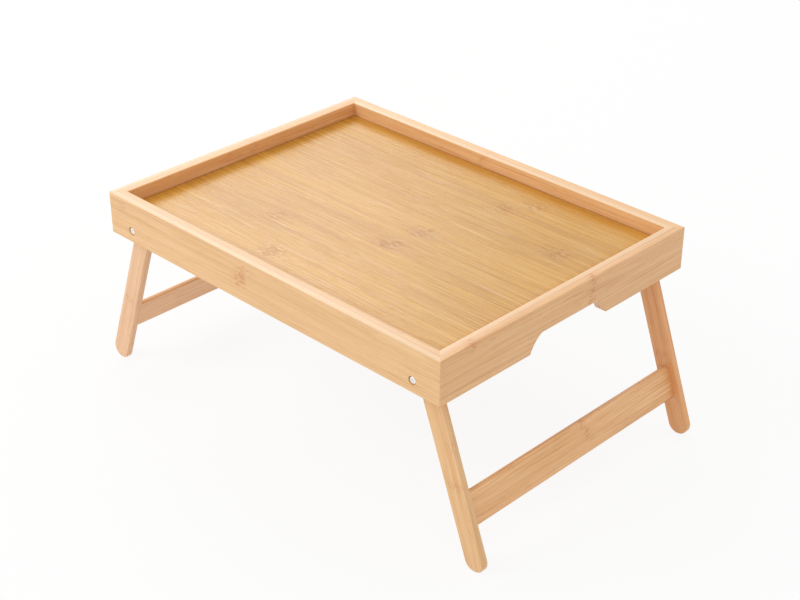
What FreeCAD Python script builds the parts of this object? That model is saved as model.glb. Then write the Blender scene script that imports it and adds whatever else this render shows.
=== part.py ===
"""Folding bamboo bed tray table.

A mitred rim holds a grooved-in panel, and two splayed leg frames fold flat beneath it. Each leg turns on a
screw that passes through a long rail, a spacer and the leg, and ends in a cap nut. The origin is on the floor
below the middle of the tray: X runs along the long rails, Y from front to back and Z up. Lengths are in
millimetres and angles in degrees.
"""
import FreeCAD, Part
import math
import os

import Sketcher

SIZES = (
    ("tray_length", 400, "outside length of the rim"),
    ("tray_width", 300, "outside width of the rim"),
    ("table_height", 188, "floor to the top of the rim, legs open"),
    ("rail_height", 40, "height of the rim's rails"),
    ("rail_thickness", 12, "thickness of the rim's rails"),
    ("rim_roundover", 1, "radius along the rim's outer top edge"),
    ("rail_ease", 0.8, "radius along the rim's inner top edge"),
    ("rail_chamfer", 0.8, "chamfer of the rails' lower edges"),
    ("corner_ease", 1, "radius of the rim's upright corners"),
    ("well_depth", 12.5, "top of the rim down to the panel"),
    ("panel_thickness", 5, "thickness of the tray panel"),
    ("tongue_thickness", 3, "thickness of the tongue round the panel"),
    ("groove_depth", 5, "depth of the rails' groove for the tongue"),
    ("expansion_gap", 0.5, "tongue's edge to the groove's root"),
    ("field_gap", 0.3, "edge of the panel's raised field to the rails"),
    ("groove_play", 0.1, "room above the tongue in its groove"),
    ("handle_mouth", 94, "length of the finger cut-out at the rail's lower edge"),
    ("handle_crown", 68, "length of the finger cut-out at its top"),
    ("handle_rise", 15, "height of the finger cut-out"),
    ("handle_end_radius", 28, "radius of the finger cut-out's hollow ends"),
    ("handle_corner", 2, "radius of the finger cut-out's corners"),
    ("spline_thickness", 2, "thickness of a corner spline"),
    ("spline_width", 7, "width of a corner spline across the mitre"),
    ("spline_height", 28, "height of a corner spline"),
    ("spline_inset", 9, "spline's middle from the mitre's inner edge, along the mitre"),
    ("spline_gap", 0.1, "room round a spline in its slot"),
    ("pivot_inset", 29, "end of a long rail to the pivot"),
    ("swing_gap", 1.5, "folded leg's upper edge to the panel"),
    ("stop_gap", 0.3, "open leg's bearing face to the panel"),
    ("screw_diameter", 4, "shank of a pivot screw"),
    ("head_diameter", 7, "pan head of a pivot screw"),
    ("head_height", 2.8, "height of the pan head"),
    ("head_edge", 1.3, "height of the pan head's straight side"),
    ("head_crown", 2, "radius of the pan head's crown"),
    ("head_sink", 0.8, "rail's outer face down to the pan head"),
    ("head_room", 0.4, "radial room round the pan head"),
    ("recess_span", 4, "width of the cross recess over its arms"),
    ("recess_arm", 1, "width of one arm of the cross recess"),
    ("recess_depth", 1.6, "depth of the cross recess"),
    ("rail_bore_room", 0.25, "radial room round the shank in a rail"),
    ("leg_bore_room", 0.08, "radial running clearance of a leg on its screw"),
    ("washer_room", 0.15, "radial room round the shank in a washer"),
    ("side_play", 0.15, "running gap on each side of a leg"),
    ("spacer_diameter", 12, "washer between a rail and a leg"),
    ("spacer_thickness", 1.5, "thickness of that washer"),
    ("washer_diameter", 9, "washer below a cap nut"),
    ("washer_thickness", 0.8, "thickness of that washer"),
    ("nut_across_flats", 7, "hexagon of a cap nut"),
    ("nut_hexagon_height", 3.2, "height of a cap nut's hexagon"),
    ("nut_height", 8, "overall height of a cap nut"),
    ("nut_dome_diameter", 6.5, "dome of a cap nut"),
    ("nut_chamfer_angle", 30, "slope of the hexagon's turned corners"),
    ("nut_bore_room", 0.05, "radial room round the shank in a cap nut"),
    ("nut_grip", 3.4, "length of shank in a cap nut"),
    ("nut_end_room", 1.6, "screw's end to the bottom of a cap nut's bore"),
    ("leg_width", 20, "width of a leg and twice the radius of its foot"),
    ("leg_thickness", 6.5, "thickness of a leg"),
    ("leg_splay", 20, "lean of an open leg from plumb"),
    ("leg_chamfer", 1, "chamfer round both faces of a leg"),
    ("stretcher_rise", 25.5, "middle of a leg's foot to the stretcher's lower edge, along the leg"),
    ("stretcher_width", 30, "width of a stretcher along the leg"),
    ("stretcher_thickness", 5, "thickness of a stretcher"),
    ("stretcher_ease", 2, "radius of a stretcher's long edges"),
    ("tenon_length", 4, "stub tenon at each end of a stretcher"),
    ("tenon_width", 22, "width of a stub tenon along the leg"),
    ("tenon_thickness", 3, "thickness of a stub tenon"),
    ("tenon_gap", 0.1, "room round a stub tenon in its mortise"),
)
OVERCUT = 1.0       # how far a cutting profile runs past the wood it cuts
SAME = 1e-4         # lengths that differ by less are equal
MITRE = 45          # angle of the rim's corner joints
HEXAGON_TURN = 60   # angle from one corner of a hexagon to the next
SIDES = (("left", -1), ("right", 1))
ENDS = (("front", -1), ("back", 1))
UPRIGHT = FreeCAD.Vector(0, 0, 1)
ALONG_X = FreeCAD.Vector(1, 0, 0)
ALONG_Y = FreeCAD.Vector(0, 1, 0)


class Size:
    """A number together with the sheet expression that gives it."""

    def __init__(self, value, text):
        self.value = value
        self.text = text

    @staticmethod
    def of(item):
        return item if isinstance(item, Size) else Size(float(item), repr(float(item)))

    def joined(self, other, sign, value):
        return Size(value, f"({self.text} {sign} {other.text})")

    def __add__(self, other):
        other = Size.of(other)
        return self.joined(other, "+", self.value + other.value)

    def __sub__(self, other):
        other = Size.of(other)
        return self.joined(other, "-", self.value - other.value)

    def __mul__(self, other):
        other = Size.of(other)
        return self.joined(other, "*", self.value * other.value)

    def __truediv__(self, other):
        other = Size.of(other)
        return self.joined(other, "/", self.value / other.value)

    def __neg__(self):
        return self * -1

    __radd__ = __add__
    __rmul__ = __mul__


def cosine(angle):
    angle = Size.of(angle)
    return Size(math.cos(math.radians(angle.value)), f"cos({angle.text})")


def sine(angle):
    angle = Size.of(angle)
    return Size(math.sin(math.radians(angle.value)), f"sin({angle.text})")


def tangent(angle):
    angle = Size.of(angle)
    return Size(math.tan(math.radians(angle.value)), f"tan({angle.text})")


def root(item):
    return Size(math.sqrt(item.value), f"sqrt({item.text})")


def write_sheet(doc):
    """Put the driving sizes in the sheet and give each as a Size under its name."""
    sheet = doc.addObject("Spreadsheet::Sheet", "sizes")
    sizes = {}
    for row, (name, value, note) in enumerate(SIZES, start=1):
        sheet.set(f"A{row}", name)
        sheet.set(f"B{row}", str(value))
        sheet.set(f"C{row}", note)
        sheet.setAlias(f"B{row}", name)
        sizes[name] = Size(float(value), f"sizes.{name}")
    return sizes


# ---- sketches and features ----------------------------------------------------------------------------

def bind(item, place, size):
    item.setExpression(place, Size.of(size).text)


def new_body(doc, name):
    body = doc.addObject("PartDesign::Body", name)
    body.Label = name
    return body


def place(body, x, y, z, axis=UPRIGHT, angle=0):
    """Move a body to x, y, z and turn it about an axis, all bound to the sheet."""
    angle = Size.of(angle)
    base = [Size.of(item) for item in (x, y, z)]
    position = FreeCAD.Vector(*(item.value for item in base))
    body.Placement = FreeCAD.Placement(position, FreeCAD.Rotation(axis, angle.value))
    for letter, item in zip("xyz", base):
        bind(body, f"Placement.Base.{letter}", item)
    if angle.value:
        bind(body, "Placement.Rotation.Angle", angle)


def new_sketch(body, plane, name, height=None):
    """A sketch on one of the body's origin planes, lifted off it by height."""
    sketch = body.newObject("Sketcher::SketchObject", name)
    role = f"{plane}_Plane"
    support = next(item for item in body.Origin.OriginFeatures if item.Role == role)
    sketch.AttachmentSupport = [(support, "")]
    sketch.MapMode = "FlatFace"
    if height is not None:
        bind(sketch, "AttachmentOffset.Base.z", height)
    return sketch


def pin_point(sketch, edge, end, x, y):
    """Fix one end of an edge at x, y from the sketch's origin."""
    for kind, size in (("DistanceX", x), ("DistanceY", y)):
        number = sketch.addConstraint(Sketcher.Constraint(kind, -1, 1, edge, end, size.value))
        if "sizes." in size.text:
            bind(sketch, f"Constraints[{number}]", size)


def arc_between(start, finish, radius, turn):
    """The arc of under a half circle from start to finish: turn is 1 for anticlockwise, -1 for clockwise."""
    chord = finish - start
    reach = math.sqrt(max(radius ** 2 - (chord.Length / 2) ** 2, 0))
    inward = FreeCAD.Vector(-chord.y, chord.x, 0).normalize() * turn
    centre = (start + finish) * 0.5 + inward * reach
    first, last = (start, finish) if turn > 0 else (finish, start)
    angles = [math.atan2(item.y - centre.y, item.x - centre.x) for item in (first, last)]
    circle = Part.Circle(centre, FreeCAD.Vector(0, 0, 1), radius)
    return Part.ArcOfCircle(circle, *angles)


def draw_outline(sketch, *steps):
    """Draw a closed outline: a step is (x, y), reached by a line, or (x, y, radius, turn), by an arc."""
    steps = [tuple(Size.of(item) for item in step[:3]) + tuple(step[3:]) for step in steps]
    points = [FreeCAD.Vector(step[0].value, step[1].value, 0) for step in steps]
    ends = []
    for number, step in enumerate(steps):
        start, finish = points[number - 1], points[number]
        if len(step) == 2:
            edge = sketch.addGeometry(Part.LineSegment(start, finish), False)
            ends.append((edge, 1, 2))
            continue
        radius, turn = step[2:]
        edge = sketch.addGeometry(arc_between(start, finish, radius.value, turn), False)
        limit = sketch.addConstraint(Sketcher.Constraint("Radius", edge, radius.value))
        bind(sketch, f"Constraints[{limit}]", radius)
        ends.append((edge, 1, 2) if turn > 0 else (edge, 2, 1))
    for number, (edge, start, finish) in enumerate(ends):
        follower, follower_start, _ = ends[(number + 1) % len(ends)]
        sketch.addConstraint(Sketcher.Constraint("Coincident", edge, finish, follower, follower_start))
        pin_point(sketch, edge, finish, *steps[number][:2])


def rounded_corner(x, y, radius, arrive, leave):
    """The two steps that round a corner between two perpendicular directions."""
    x, y, radius = Size.of(x), Size.of(y), Size.of(radius)
    turn = 1 if arrive[0] * leave[1] - arrive[1] * leave[0] > 0 else -1
    before = (x - radius * arrive[0], y - radius * arrive[1])
    after = (x + radius * leave[0], y + radius * leave[1], radius, turn)
    return before, after


def draw_rectangle(sketch, width, height, x=0, y=0, ease=None):
    """A rectangle centred on x, y, with its corners rounded where ease is given."""
    x, y = Size.of(x), Size.of(y)
    left, right = x - width / 2, x + width / 2
    low, high = y - height / 2, y + height / 2
    if ease is None:
        draw_outline(sketch, (left, low), (right, low), (right, high), (left, high))
        return
    draw_outline(
        sketch,
        *rounded_corner(right, low, ease, (1, 0), (0, 1)),
        *rounded_corner(right, high, ease, (0, 1), (-1, 0)),
        *rounded_corner(left, high, ease, (-1, 0), (0, -1)),
        *rounded_corner(left, low, ease, (0, -1), (1, 0)),
    )


def draw_circle(sketch, diameter, x=0, y=0):
    x, y, diameter = Size.of(x), Size.of(y), Size.of(diameter)
    middle = FreeCAD.Vector(x.value, y.value, 0)
    circle = sketch.addGeometry(Part.Circle(middle, FreeCAD.Vector(0, 0, 1), diameter.value / 2), False)
    limit = sketch.addConstraint(Sketcher.Constraint("Diameter", circle, diameter.value))
    bind(sketch, f"Constraints[{limit}]", diameter)
    pin_point(sketch, circle, 3, x, y)


def pad(body, sketch, length, symmetric=False):
    feature = body.newObject("PartDesign::Pad", f"{sketch.Name}_pad")
    feature.Profile = sketch
    feature.SideType = "Symmetric" if symmetric else "One side"
    bind(feature, "Length", length)
    return feature


def pocket(body, sketch, length=None, reverse=False):
    """Cut a sketch into the body: to a depth, or through it both ways where no depth is given."""
    feature = body.newObject("PartDesign::Pocket", f"{sketch.Name}_cut")
    feature.Profile = sketch
    if length is None:
        feature.SideType = "Symmetric"
        feature.Type = "ThroughAll"
    else:
        feature.Reversed = reverse
        bind(feature, "Length", length)
    return feature


def turned(body, sketch, kind="Revolution"):
    """Revolve a sketch about its upright axis, to add to the body or, as a Groove, to cut it."""
    feature = body.newObject(f"PartDesign::{kind}", f"{sketch.Name}_turned")
    feature.Profile = sketch
    feature.ReferenceAxis = (sketch, ["V_Axis"])
    feature.Angle = 360
    return feature


def dress_edges(doc, body, kind, size, wanted):
    """Fillet or chamfer every edge of the body whose points all pass the test."""
    doc.recompute()
    tip = body.Tip
    names = []
    for number, edge in enumerate(tip.Shape.Edges, start=1):
        middle = edge.valueAt((edge.FirstParameter + edge.LastParameter) / 2)
        points = [vertex.Point for vertex in edge.Vertexes] + [middle]
        if all(wanted(point) for point in points):
            names.append(f"Edge{number}")
    feature = body.newObject(f"PartDesign::{kind}", f"{body.Name}_{kind.lower()}")
    feature.Base = (tip, names)
    bind(feature, "Radius" if kind == "Fillet" else "Size", size)
    return feature


def near(first, second):
    return abs(first - second) < SAME


# ---- rim ----------------------------------------------------------------------------------------------

def panel_underside(s):
    """Height of the panel's underside above the floor."""
    return s["table_height"] - s["well_depth"] - s["panel_thickness"]


def draw_rail_section(sketch, s):
    """Section of a rail: outer face at 0, groove for the panel in its inner face, rounded top edges."""
    depth, height = s["rail_thickness"], s["rail_height"]
    groove_root = depth - s["groove_depth"]
    groove_floor = height - s["well_depth"] - s["panel_thickness"]
    groove_roof = groove_floor + s["tongue_thickness"] + s["groove_play"]
    draw_outline(
        sketch,
        (0, 0),
        (depth, 0),
        (depth, groove_floor),
        (groove_root, groove_floor),
        (groove_root, groove_roof),
        (depth, groove_roof),
        *rounded_corner(depth, height, s["rail_ease"], (0, 1), (-1, 0)),
        *rounded_corner(0, height, s["rim_roundover"], (-1, 0), (0, -1)),
    )


def cut_mitres(body, s, length):
    """Cut both ends at 45 degrees and round the rail's half of each upright corner."""
    sketch = new_sketch(body, "XY", f"{body.Name}_mitres")
    tip, ease = length / 2, s["corner_ease"]
    beyond = s["rail_thickness"] + OVERCUT
    bulge = ease * cosine(MITRE)
    for end in (-1, 1):
        draw_outline(
            sketch,
            ((tip - ease) * end, 0),
            ((tip - ease + bulge) * end, ease - bulge, ease, end),
            ((tip - beyond) * end, beyond),
            ((tip + OVERCUT) * end, beyond),
            ((tip + OVERCUT) * end, -OVERCUT),
            ((tip - ease) * end, -OVERCUT),
        )
    pocket(body, sketch)


def cut_spline_slots(body, s, length):
    """Cut the stopped slots across the mitres, half of each in this rail."""
    sketch = new_sketch(body, "XY", f"{body.Name}_slots", s["rail_height"] / 2)
    gap = s["spline_gap"]
    half_wide = (s["spline_width"] / 2 + gap) * cosine(MITRE)
    half_thick = (s["spline_thickness"] / 2 + gap) * cosine(MITRE)
    y = s["rail_thickness"] - s["spline_inset"] * cosine(MITRE)
    for end in (-1, 1):
        x = length / 2 - y
        draw_outline(
            sketch,
            ((x - half_wide - half_thick) * end, y - half_wide + half_thick),
            ((x - half_wide + half_thick) * end, y - half_wide - half_thick),
            ((x + half_wide + half_thick) * end, y + half_wide - half_thick),
            ((x + half_wide - half_thick) * end, y + half_wide + half_thick),
        )
    cut = pocket(body, sketch, s["spline_height"] + gap * 2)
    cut.SideType = "Symmetric"


def ease_lower_edges(doc, body, s):
    """Chamfer the edges of the lower side, and of the finger cut-out where there is one."""
    depth = s["rail_thickness"].value
    top = s["handle_rise"].value

    def on_lower_edge(point):
        return (near(point.y, 0) or near(point.y, depth)) and point.z < top + SAME

    dress_edges(doc, body, "Chamfer", s["rail_chamfer"], on_lower_edge)


def start_rail(doc, s, name, length):
    body = new_body(doc, name)
    section = new_sketch(body, "YZ", f"{name}_section")
    draw_rail_section(section, s)
    pad(body, section, length, symmetric=True)
    return body


def bore_pivots(body, s):
    """Bore both ends for the pivot screws and sink their heads from the outer face."""
    height = pivot_height(s) - s["table_height"] + s["rail_height"]
    bores = new_sketch(body, "XZ", f"{body.Name}_bores")
    sinks = new_sketch(body, "XZ", f"{body.Name}_sinks")
    for end in (-1, 1):
        x = (s["tray_length"] / 2 - s["pivot_inset"]) * end
        draw_circle(bores, s["screw_diameter"] + s["rail_bore_room"] * 2, x, height)
        draw_circle(sinks, s["head_diameter"] + s["head_room"] * 2, x, height)
    pocket(body, bores)
    pocket(body, sinks, head_seat(s))


def cut_handle(doc, body, s):
    """Cut the finger hold in the lower edge: a flat crown between two hollow ends."""
    sketch = new_sketch(body, "XZ", f"{body.Name}_handle")
    mouth, crown = s["handle_mouth"] / 2, s["handle_crown"] / 2
    draw_outline(
        sketch,
        (mouth, 0),
        (crown, s["handle_rise"], s["handle_end_radius"], 1),
        (-crown, s["handle_rise"]),
        (-mouth, 0, s["handle_end_radius"], 1),
        (-mouth, -OVERCUT),
        (mouth, -OVERCUT),
    )
    pocket(body, sketch)
    corners = [(mouth.value, 0), (crown.value, s["handle_rise"].value)]

    def on_corner(point):
        return any(near(abs(point.x), x) and near(point.z, z) for x, z in corners)

    dress_edges(doc, body, "Fillet", s["handle_corner"], on_corner)


def make_long_rail(doc, s, name):
    body = start_rail(doc, s, name, s["tray_length"])
    ease_lower_edges(doc, body, s)
    bore_pivots(body, s)
    cut_mitres(body, s, s["tray_length"])
    cut_spline_slots(body, s, s["tray_length"])
    return body


def make_short_rail(doc, s, name):
    body = start_rail(doc, s, name, s["tray_width"])
    cut_handle(doc, body, s)
    ease_lower_edges(doc, body, s)
    cut_mitres(body, s, s["tray_width"])
    cut_spline_slots(body, s, s["tray_width"])
    return body


def make_rim(doc, s):
    rail_base = s["table_height"] - s["rail_height"]
    for end, sign in ENDS:
        body = make_long_rail(doc, s, f"{end}_long_rail")
        place(body, 0, s["tray_width"] / 2 * sign, rail_base, UPRIGHT, 90 + 90 * sign)
    for side, sign in SIDES:
        body = make_short_rail(doc, s, f"{side}_short_rail")
        place(body, s["tray_length"] / 2 * sign, 0, rail_base, UPRIGHT, 90 * sign)


def make_panel(doc, s):
    """The panel: its underside and tongue run into the grooves, its raised field fills the opening."""
    body = new_body(doc, "tray_panel")
    in_groove = s["rail_thickness"] - s["groove_depth"] + s["expansion_gap"]
    in_opening = s["rail_thickness"] + s["field_gap"]
    tongue = new_sketch(body, "XY", "panel_tongue")
    draw_rectangle(tongue, s["tray_length"] - in_groove * 2, s["tray_width"] - in_groove * 2)
    pad(body, tongue, s["tongue_thickness"])
    field = new_sketch(body, "XY", "panel_field")
    draw_rectangle(field, s["tray_length"] - in_opening * 2, s["tray_width"] - in_opening * 2)
    pad(body, field, s["panel_thickness"])
    place(body, 0, 0, panel_underside(s))
    return body


def make_corner_splines(doc, s):
    """The thin strips that key the mitred corners, each across its own mitre."""
    step = s["rail_thickness"] - s["spline_inset"] * cosine(MITRE)
    middle = s["table_height"] - s["rail_height"] / 2
    for side, x_sign in SIDES:
        for end, y_sign in ENDS:
            name = f"{end}_{side}_spline"
            body = new_body(doc, name)
            sketch = new_sketch(body, "XY", f"{name}_section")
            draw_rectangle(sketch, s["spline_width"], s["spline_thickness"])
            pad(body, sketch, s["spline_height"], symmetric=True)
            x = (s["tray_length"] / 2 - step) * x_sign
            y = (s["tray_width"] / 2 - step) * y_sign
            place(body, x, y, middle, UPRIGHT, -MITRE * x_sign * y_sign)


# ---- pivots -------------------------------------------------------------------------------------------

def pivot_height(s):
    """Height of the pivots above the floor: a folded leg clears the panel by the swing gap."""
    return panel_underside(s) - s["leg_width"] / 2 - s["swing_gap"]


def head_seat(s):
    """Depth of the face that the screw's head bears on, below the rail's outer face."""
    return s["head_height"] + s["head_sink"]


def stack_starts(s):
    """Distances from the tray's outer face, inwards along a pivot, to each piece on the screw."""
    spacer = s["rail_thickness"]
    leg = spacer + s["spacer_thickness"] + s["side_play"]
    washer = leg + s["leg_thickness"] + s["side_play"]
    nut = washer + s["washer_thickness"]
    return {"screw": head_seat(s), "spacer": spacer, "leg": leg, "washer": washer, "nut": nut}


def draw_screw(body, s):
    """A pan head screw. Its head bears at 0 and its shank runs upwards."""
    length = stack_starts(s)["nut"] + s["nut_grip"] - head_seat(s)
    head, shank = s["head_diameter"] / 2, s["screw_diameter"] / 2
    profile = new_sketch(body, "XZ", f"{body.Name}_profile")
    crown = s["head_height"] - s["head_edge"]
    draw_outline(
        profile,
        (0, -s["head_height"]),
        (head - crown, -s["head_height"]),
        (head, -s["head_edge"], s["head_crown"], 1),
        (head, 0),
        (shank, 0),
        (shank, length),
        (0, length),
    )
    turned(body, profile)
    recess = new_sketch(body, "XY", f"{body.Name}_recess", -s["head_height"])
    arm, span = s["recess_arm"] / 2, s["recess_span"] / 2
    draw_outline(
        recess,
        (span, -arm), (span, arm), (arm, arm), (arm, span), (-arm, span), (-arm, arm),
        (-span, arm), (-span, -arm), (-arm, -arm), (-arm, -span), (arm, -span), (arm, -arm),
    )
    pocket(body, recess, s["recess_depth"], reverse=True)


def draw_washer(body, s, diameter, thickness):
    ring = new_sketch(body, "XY", f"{body.Name}_ring")
    draw_circle(ring, diameter)
    draw_circle(ring, s["screw_diameter"] + s["washer_room"] * 2)
    pad(body, ring, thickness)


def draw_spacer(body, s):
    draw_washer(body, s, s["spacer_diameter"], s["spacer_thickness"])


def draw_nut_washer(body, s):
    draw_washer(body, s, s["washer_diameter"], s["washer_thickness"])


def draw_cap_nut(body, s):
    """A cap nut that stands on its hexagon, with turned corners, a dome and a blind bore."""
    flats, height = s["nut_across_flats"] / 2, s["nut_hexagon_height"]
    corner = flats / cosine(HEXAGON_TURN / 2)
    hexagon = new_sketch(body, "XY", f"{body.Name}_hexagon")
    turns = range(0, 360, HEXAGON_TURN)
    draw_outline(hexagon, *((corner * cosine(turn), corner * sine(turn)) for turn in turns))
    pad(body, hexagon, height)

    corners = new_sketch(body, "XZ", f"{body.Name}_corners")
    slope = tangent(s["nut_chamfer_angle"])
    outside = corner + OVERCUT
    fall = (outside - flats) * slope
    draw_outline(corners, (flats, height), (outside, height - fall), (outside, height))
    turned(body, corners, "Groove")

    dome = new_sketch(body, "XZ", f"{body.Name}_dome")
    radius = s["nut_dome_diameter"] / 2
    spring = s["nut_height"] - radius
    draw_outline(dome, (0, 0), (radius, 0), (radius, spring), (0, s["nut_height"], radius, 1))
    turned(body, dome)

    bore = new_sketch(body, "XY", f"{body.Name}_bore")
    draw_circle(bore, s["screw_diameter"] + s["nut_bore_room"] * 2)
    pocket(body, bore, s["nut_grip"] + s["nut_end_room"], reverse=True)


def make_pivots(doc, s):
    """Screw, spacer, washer and cap nut at both ends of each hinge line: a pair of each makes one piece."""
    kinds = {
        "pivot_screws": ("screw", draw_screw),
        "spacer_washers": ("spacer", draw_spacer),
        "nut_washers": ("washer", draw_nut_washer),
        "cap_nuts": ("nut", draw_cap_nut),
    }
    starts = stack_starts(s)
    for side, x_sign in SIDES:
        x = (s["tray_length"] / 2 - s["pivot_inset"]) * x_sign
        for kind, (start, draw) in kinds.items():
            pair = []
            for end, y_sign in ENDS:
                body = new_body(doc, f"{side}_{end}_{start}")
                draw(body, s)
                y = (s["tray_width"] / 2 - starts[start]) * y_sign
                place(body, x, y, pivot_height(s), ALONG_X, 90 * y_sign)
                pair.append(body)
            group = doc.addObject("Part::Compound", f"{side}_{kind}")
            group.Label = f"{side}_{kind}"
            group.Links = pair


# ---- leg frames ---------------------------------------------------------------------------------------

def leg_reach(s):
    """From the pivot to the middle of the foot, along the leg."""
    return (pivot_height(s) - s["leg_width"] / 2) / cosine(s["leg_splay"])


def stretcher_level(s):
    """Height of the stretcher's middle in the leg's own frame, where the pivot is at 0."""
    return s["stretcher_rise"] + s["stretcher_width"] / 2 - leg_reach(s)


def make_leg(doc, s, name, x_sign, y_sign):
    """A leg, drawn upright with its pivot at the origin and then leaned outwards.

    The head is a cam: round about the pivot on the folding side, so that it swings clear of the panel, and
    flat where it bears on the panel's underside when the leg is open. The foot is a half circle.
    """
    body = new_body(doc, name)
    half, lean = s["leg_width"] / 2, s["leg_splay"]
    length = leg_reach(s)
    cam = half + s["swing_gap"] - s["stop_gap"]
    profile = new_sketch(body, "XZ", f"{name}_profile")
    draw_outline(
        profile,
        (half * x_sign, -length, half, x_sign),
        (half * x_sign, (cam - half * sine(lean)) / cosine(lean)),
        (cam * sine(lean) * x_sign, cam * cosine(lean)),
        (-half * x_sign, root(cam * cam - half * half), cam, x_sign),
        (-half * x_sign, -length),
        (0, -length - half, half, x_sign),
    )
    pad(body, profile, s["leg_thickness"], symmetric=True)
    face = s["leg_thickness"].value / 2
    dress_edges(doc, body, "Chamfer", s["leg_chamfer"], lambda point: near(abs(point.y), face))

    bore = new_sketch(body, "XZ", f"{name}_bore")
    draw_circle(bore, s["screw_diameter"] + s["leg_bore_room"] * 2)
    pocket(body, bore)

    room = s["tenon_gap"] * 2
    mortise = new_sketch(body, "XZ", f"{name}_mortise", s["leg_thickness"] / 2 * y_sign)
    draw_rectangle(mortise, s["tenon_thickness"] + room, s["tenon_width"] + room, 0, stretcher_level(s))
    pocket(body, mortise, s["tenon_length"] + s["tenon_gap"], reverse=y_sign < 0)

    outer_face = s["tray_width"] / 2 - stack_starts(s)["leg"]
    y = (outer_face - s["leg_thickness"] / 2) * y_sign
    place_in_frame(body, s, x_sign, y)
    return body


def place_in_frame(body, s, x_sign, y):
    x = (s["tray_length"] / 2 - s["pivot_inset"]) * x_sign
    place(body, x, y, pivot_height(s), ALONG_Y, s["leg_splay"] * -x_sign)


def make_stretcher(doc, s, name, x_sign):
    """The board between two legs, with a stub tenon at each end."""
    body = new_body(doc, name)
    inner_face = s["tray_width"] / 2 - stack_starts(s)["leg"] - s["leg_thickness"]
    level = stretcher_level(s)
    board = new_sketch(body, "XZ", f"{name}_section")
    draw_rectangle(board, s["stretcher_thickness"], s["stretcher_width"], 0, level, s["stretcher_ease"])
    pad(body, board, inner_face * 2, symmetric=True)
    tenons = new_sketch(body, "XZ", f"{name}_tenons")
    draw_rectangle(tenons, s["tenon_thickness"], s["tenon_width"], 0, level)
    pad(body, tenons, (inner_face + s["tenon_length"]) * 2, symmetric=True)
    place_in_frame(body, s, x_sign, 0)
    return body


def make_leg_frames(doc, s):
    for side, x_sign in SIDES:
        for end, y_sign in ENDS:
            make_leg(doc, s, f"{side}_{end}_leg", x_sign, y_sign)
        make_stretcher(doc, s, f"{side}_stretcher", x_sign)


# ---- checks and files ---------------------------------------------------------------------------------

def check(doc, pieces):
    """Stop where a feature failed, a cut took nothing away or a piece isn't sound."""
    for item in doc.Objects:
        if "Invalid" in item.State or "Error" in item.State:
            raise RuntimeError(f"{item.Label}: {item.State}")
        base = getattr(item, "BaseFeature", None)
        if base is not None and near(item.Shape.Volume, base.Shape.Volume):
            raise RuntimeError(f"{item.Label}: changes nothing")
    for piece in pieces:
        shape = piece.Shape
        wanted = len(piece.Links) if piece.TypeId == "Part::Compound" else 1
        if shape.isNull() or not shape.isValid() or len(shape.Solids) != wanted:
            raise RuntimeError(f"{piece.Label}: not {wanted} sound solids")


def main():
    doc = FreeCAD.newDocument("bed_tray_table")
    sizes = write_sheet(doc)
    doc.recompute()
    make_rim(doc, sizes)
    make_panel(doc, sizes)
    make_corner_splines(doc, sizes)
    make_pivots(doc, sizes)
    make_leg_frames(doc, sizes)
    doc.recompute()
    groups = [item for item in doc.Objects if item.TypeId == "Part::Compound"]
    grouped = [body for group in groups for body in group.Links]
    bodies = [item for item in doc.Objects if item.TypeId == "PartDesign::Body"]
    pieces = groups + [body for body in bodies if body not in grouped]
    check(doc, pieces)
    os.makedirs("parts", exist_ok=True)
    for piece in pieces:
        piece.Shape.exportStep(f"parts/{piece.Label}.step")
    print(f"{len(pieces)} pieces written")


main()
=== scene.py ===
"""The looks of a folding bamboo bed tray table, built round the fixed frame of its construction model.

The sections follow the table as it is put together: the rim, the panel, the corner splines, the pivot screws
with their spacers, the two leg frames, and the washers and nuts that close the pivots. The floor, the light
and the camera come last. Lengths are in metres unless a name ends in _mm.
"""

import math

import bpy
from mathutils import Matrix, Vector


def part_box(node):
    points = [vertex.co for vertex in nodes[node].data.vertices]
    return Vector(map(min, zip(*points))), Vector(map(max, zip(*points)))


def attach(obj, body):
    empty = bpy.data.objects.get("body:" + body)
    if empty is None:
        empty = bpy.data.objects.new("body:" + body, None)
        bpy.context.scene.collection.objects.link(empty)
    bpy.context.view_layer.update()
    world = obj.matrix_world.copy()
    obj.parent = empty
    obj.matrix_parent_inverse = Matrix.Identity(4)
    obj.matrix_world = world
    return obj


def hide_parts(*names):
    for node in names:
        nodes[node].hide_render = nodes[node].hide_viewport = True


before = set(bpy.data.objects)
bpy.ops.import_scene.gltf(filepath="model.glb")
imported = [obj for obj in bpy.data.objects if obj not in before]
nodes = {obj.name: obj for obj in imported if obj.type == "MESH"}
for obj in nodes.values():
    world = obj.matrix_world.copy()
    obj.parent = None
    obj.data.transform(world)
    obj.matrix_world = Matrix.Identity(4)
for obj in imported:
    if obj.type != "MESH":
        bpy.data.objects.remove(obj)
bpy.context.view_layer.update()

# -------------------------------------------------------------------------------------------------------
# Long rails. Front and back boards of the rim, each glued up from bamboo strips 20 mm wide in two layers
# of 6 mm, with the grain along the board. They are moulded, mitred at the ends and finished in satin
# clear lacquer.
# -------------------------------------------------------------------------------------------------------
MM = 0.001
strip_width_mm = 20
layer_mm = 6
rail_height_mm = 40
rim_top_mm = 188
rail_middle_mm = rim_top_mm - rail_height_mm / 2
rail_centre_y_mm = 144
noise_middle = (0.5, 0.5, 0.5)
scribble_mm = (4.5, 1.6, 1.6)
mark_depth_mm = layer_mm + 0.2


def linear(code):
    """An sRGB hex colour as linear red, green, blue and alpha."""
    channels = [int(code[i:i + 2], 16) / 255 for i in (1, 3, 5)]
    return [c / 12.92 if c <= 0.04045 else ((c + 0.055) / 1.055) ** 2.4 for c in channels] + [1.0]


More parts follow.
